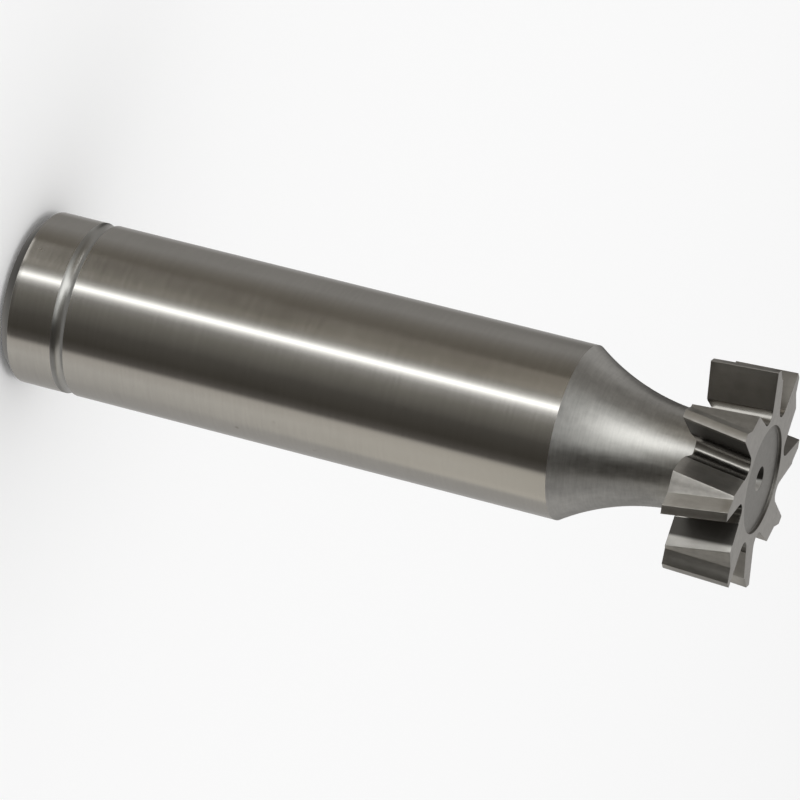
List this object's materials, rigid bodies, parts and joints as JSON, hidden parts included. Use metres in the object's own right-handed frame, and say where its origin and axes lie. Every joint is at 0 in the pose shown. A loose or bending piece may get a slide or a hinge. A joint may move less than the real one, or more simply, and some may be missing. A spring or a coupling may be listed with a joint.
{
  "type": "woodruff keyseat cutter",
  "caption": "Shank-type milling cutter with a straight ground shank, a waisted neck and a narrow disc head of staggered teeth, for half-moon keyseats in shafts.",
  "frame": {"origin": "centre of the shank end face, on which the cutter stands", "axes": "+Z along the axis of the tool from the shank end to the head, +X through the middle of one cutting edge"},
  "size_m": [0.0162, 0.0162, 0.0562],
  "materials": {
    "ground_steel": "ground high-speed steel, bright on the shank, satin on the neck and fine-ground on the teeth"
  },
  "bodies": {
    "root": {"cutter": "ground_steel"}
  },
  "joints": []
}
